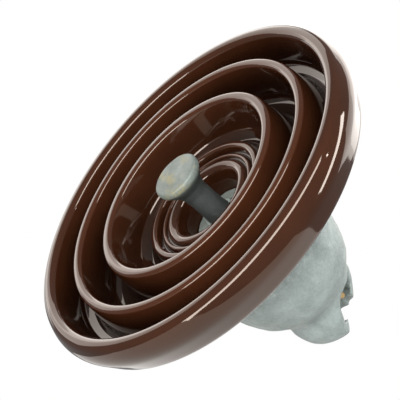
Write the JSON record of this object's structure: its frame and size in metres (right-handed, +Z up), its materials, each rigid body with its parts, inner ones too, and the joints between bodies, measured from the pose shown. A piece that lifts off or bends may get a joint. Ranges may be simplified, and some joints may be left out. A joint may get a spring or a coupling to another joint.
{
  "type": "disc suspension insulator",
  "caption": "Brown-glazed porcelain disc insulator: ribbed disc, galvanised cap with ball socket and split pin, and cemented ball-ended pin.",
  "frame": {"origin": "ball seat of the cap's socket, on the axis: the point that the ball of the unit above bears on", "axes": "+Z up along the string axis, from this unit's ball towards its socket; the socket's side entrance faces -Y and the split pin's eye faces +Y"},
  "size_m": [0.2548, 0.2548, 0.1674],
  "materials": {
    "porcelain": "glossy brown glaze",
    "zinc_cap": "hot-dip galvanised, matte",
    "zinc_pin": "hot-dip galvanised forging, matte",
    "cement": "cast portland cement",
    "bitumen": "bituminous coating",
    "cork": "resilient cork disc",
    "grit": "fired porcelain grit",
    "bronze": "phosphor bronze wire"
  },
  "bodies": {
    "insulator": {"porcelain_shell": "porcelain", "cap": "zinc_cap", "pin": "zinc_pin", "cap_cement": "cement", "pin_cement": "cement", "cap_lining": "bitumen", "pin_coating": "bitumen", "head_cushion": "cork", "pin_cushion": "cork", "outer_grit_band": "grit", "inner_grit_band": "grit"},
    "locking_pin": {"locking_pin": "bronze"}
  },
  "joints": [
    {"name": "locking_pin_slide", "type": "slide", "parent": "insulator", "child": "locking_pin", "axis": [0, 1, 0], "range_m": [0, 0.03]}
  ]
}
